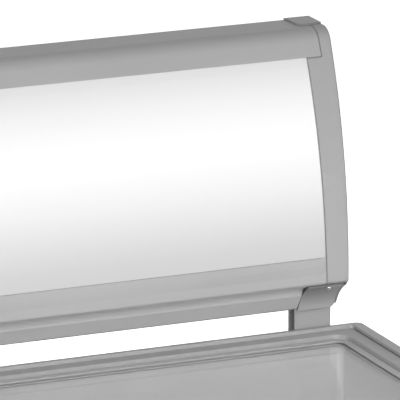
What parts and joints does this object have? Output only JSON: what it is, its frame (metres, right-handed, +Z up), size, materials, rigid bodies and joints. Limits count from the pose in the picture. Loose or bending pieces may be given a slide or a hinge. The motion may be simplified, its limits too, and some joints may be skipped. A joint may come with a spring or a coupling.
{
  "type": "ice cream freezer",
  "caption": "Chest freezer on castors with sliding glass lids, and a lit sign canopy on posts behind it.",
  "frame": {"origin": "on the floor, in the middle of the whole footprint", "axes": "+X to the right seen from the front, +Y to the back (the canopy's side), +Z up"},
  "size_m": [1.5, 0.7914, 1.3075],
  "materials": {
    "grey_sheet": "smooth satin grey enamel on steel sheet",
    "grey_moulding": "satin grey moulded plastic with a very fine grain",
    "grey_post": "satin grey powder coat",
    "canopy_sheet": "light grey enamel on thin sheet",
    "opal_diffuser": "opal white acrylic, evenly lit from behind",
    "liner_sheet": "dull rolled sheet with fine cloudy marks",
    "foam": "pale yellow rigid foam",
    "zinc_steel": "zinc-plated steel, dull",
    "polished_screws": "bright plated steel",
    "condenser_paint": "matt black paint",
    "black_enamel": "half-gloss black enamel",
    "dark_moulding": "dark grey moulded plastic",
    "copper_pipe": "drawn copper with a dull brown film",
    "soft_rubber": "matt black rubber",
    "wheel_rubber": "dark grey rubber with a worn tread",
    "lid_glass": "clear tempered glass, faint green edge",
    "lamp_glass": "white coated glass tube",
    "white_moulding": "white moulded plastic",
    "driver_paint": "white painted steel case",
    "knob_plastic": "light grey half-gloss plastic",
    "red_plastic": "red half-gloss plastic",
    "green_lens": "green translucent plastic"
  },
  "bodies": {
    "cabinet": {"front_panel": "grey_sheet", "left_side_panel": "grey_sheet", "right_side_panel": "grey_sheet", "back_panel": "grey_sheet", "top_frame": "grey_moulding", "top_rail": "grey_moulding", "bottom_rail": "grey_moulding", "lower_moulding": "grey_moulding", "left_end_cap": "grey_moulding", "right_end_cap": "grey_moulding", "left_corner_bracket": "grey_moulding", "right_corner_bracket": "grey_moulding", "left_post": "grey_post", "right_post": "grey_post", "canopy_back_panel": "canopy_sheet", "diffuser_panel": "opal_diffuser", "inner_liner": "liner_sheet", "foam_insulation": "foam", "base_plate": "zinc_steel", "castor_plates": "zinc_steel", "post_brackets": "zinc_steel", "fan_motor": "zinc_steel", "thermostat_body": "zinc_steel", "canopy_screws": "polished_screws", "post_bolts": "polished_screws", "condenser_coil": "condenser_paint", "compressor": "black_enamel", "front_grille": "dark_moulding", "rear_grille": "dark_moulding", "control_fascia": "dark_moulding", "fan_shroud": "dark_moulding", "cable_gland": "dark_moulding", "filter_drier": "copper_pipe", "refrigerant_pipes": "copper_pipe", "evaporator_coil": "copper_pipe", "compressor_mounts": "soft_rubber", "lamp_tubes": "lamp_glass", "lamp_holders": "white_moulding", "drain_spout": "white_moulding", "lamp_driver": "driver_paint", "indicator_lamps": "green_lens"},
    "left_lid": {"left_lid_frame": "grey_moulding", "left_lid_glass": "lid_glass", "left_lid_handle": "dark_moulding", "centre_seal": "soft_rubber"},
    "right_lid": {"right_lid_frame": "grey_moulding", "right_lid_glass": "lid_glass", "right_lid_handle": "dark_moulding"},
    "knob": {"thermostat_knob": "knob_plastic"},
    "rocker": {"power_switch": "red_plastic"},
    "fan": {"fan_blade": "dark_moulding"},
    "plug": {"drain_plug": "white_moulding"},
    "fork_front_left": {"castor_fork_front_left": "zinc_steel"},
    "wheel_front_left": {"castor_wheel_front_left": "wheel_rubber"},
    "fork_front_right": {"castor_fork_front_right": "zinc_steel"},
    "wheel_front_right": {"castor_wheel_front_right": "wheel_rubber"},
    "fork_back_left": {"castor_fork_back_left": "zinc_steel"},
    "wheel_back_left": {"castor_wheel_back_left": "wheel_rubber"},
    "fork_back_right": {"castor_fork_back_right": "zinc_steel"},
    "wheel_back_right": {"castor_wheel_back_right": "wheel_rubber"}
  },
  "joints": [
    {"name": "left_lid_slide", "type": "slide", "parent": "cabinet", "child": "left_lid", "axis": [1, 0, 0], "range_m": [0, 0.6]},
    {"name": "right_lid_slide", "type": "slide", "parent": "cabinet", "child": "right_lid", "axis": [1, 0, 0], "range_m": [-0.6, 0]},
    {"name": "thermostat_turn", "type": "hinge", "parent": "cabinet", "child": "knob", "pos_m": [0.4796, -0.3817, 0.309], "axis": [0, -1, 0], "range_deg": [0, 270]},
    {"name": "power_switch_rock", "type": "hinge", "parent": "cabinet", "child": "rocker", "pos_m": [0.5496, -0.3754, 0.309], "axis": [1, 0, 0], "range_deg": [-16, 0]},
    {"name": "fan_spin", "type": "hinge", "parent": "cabinet", "child": "fan", "pos_m": [0.5771, -0.2634, 0.183], "axis": [0, 1, 0], "continuous": true},
    {"name": "drain_plug_pull", "type": "slide", "parent": "cabinet", "child": "plug", "axis": [0, 0, 1], "range_m": [0, 0.03]},
    {"name": "castor_swivel_front_left", "type": "hinge", "parent": "cabinet", "child": "fork_front_left", "pos_m": [-0.67, -0.3094, 0.06], "axis": [0, 0, 1], "continuous": true},
    {"name": "castor_roll_front_left", "type": "hinge", "parent": "fork_front_left", "child": "wheel_front_left", "pos_m": [-0.67, -0.2844, 0.03], "axis": [1, 0, 0], "continuous": true},
    {"name": "castor_swivel_front_right", "type": "hinge", "parent": "cabinet", "child": "fork_front_right", "pos_m": [0.67, -0.3094, 0.06], "axis": [0, 0, 1], "continuous": true},
    {"name": "castor_roll_front_right", "type": "hinge", "parent": "fork_front_right", "child": "wheel_front_right", "pos_m": [0.67, -0.2844, 0.03], "axis": [1, 0, 0], "continuous": true},
    {"name": "castor_swivel_back_left", "type": "hinge", "parent": "cabinet", "child": "fork_back_left", "pos_m": [-0.67, 0.1838, 0.06], "axis": [0, 0, 1], "continuous": true},
    {"name": "castor_roll_back_left", "type": "hinge", "parent": "fork_back_left", "child": "wheel_back_left", "pos_m": [-0.67, 0.2088, 0.03], "axis": [1, 0, 0], "continuous": true},
    {"name": "castor_swivel_back_right", "type": "hinge", "parent": "cabinet", "child": "fork_back_right", "pos_m": [0.67, 0.1838, 0.06], "axis": [0, 0, 1], "continuous": true},
    {"name": "castor_roll_back_right", "type": "hinge", "parent": "fork_back_right", "child": "wheel_back_right", "pos_m": [0.67, 0.2088, 0.03], "axis": [1, 0, 0], "continuous": true}
  ]
}
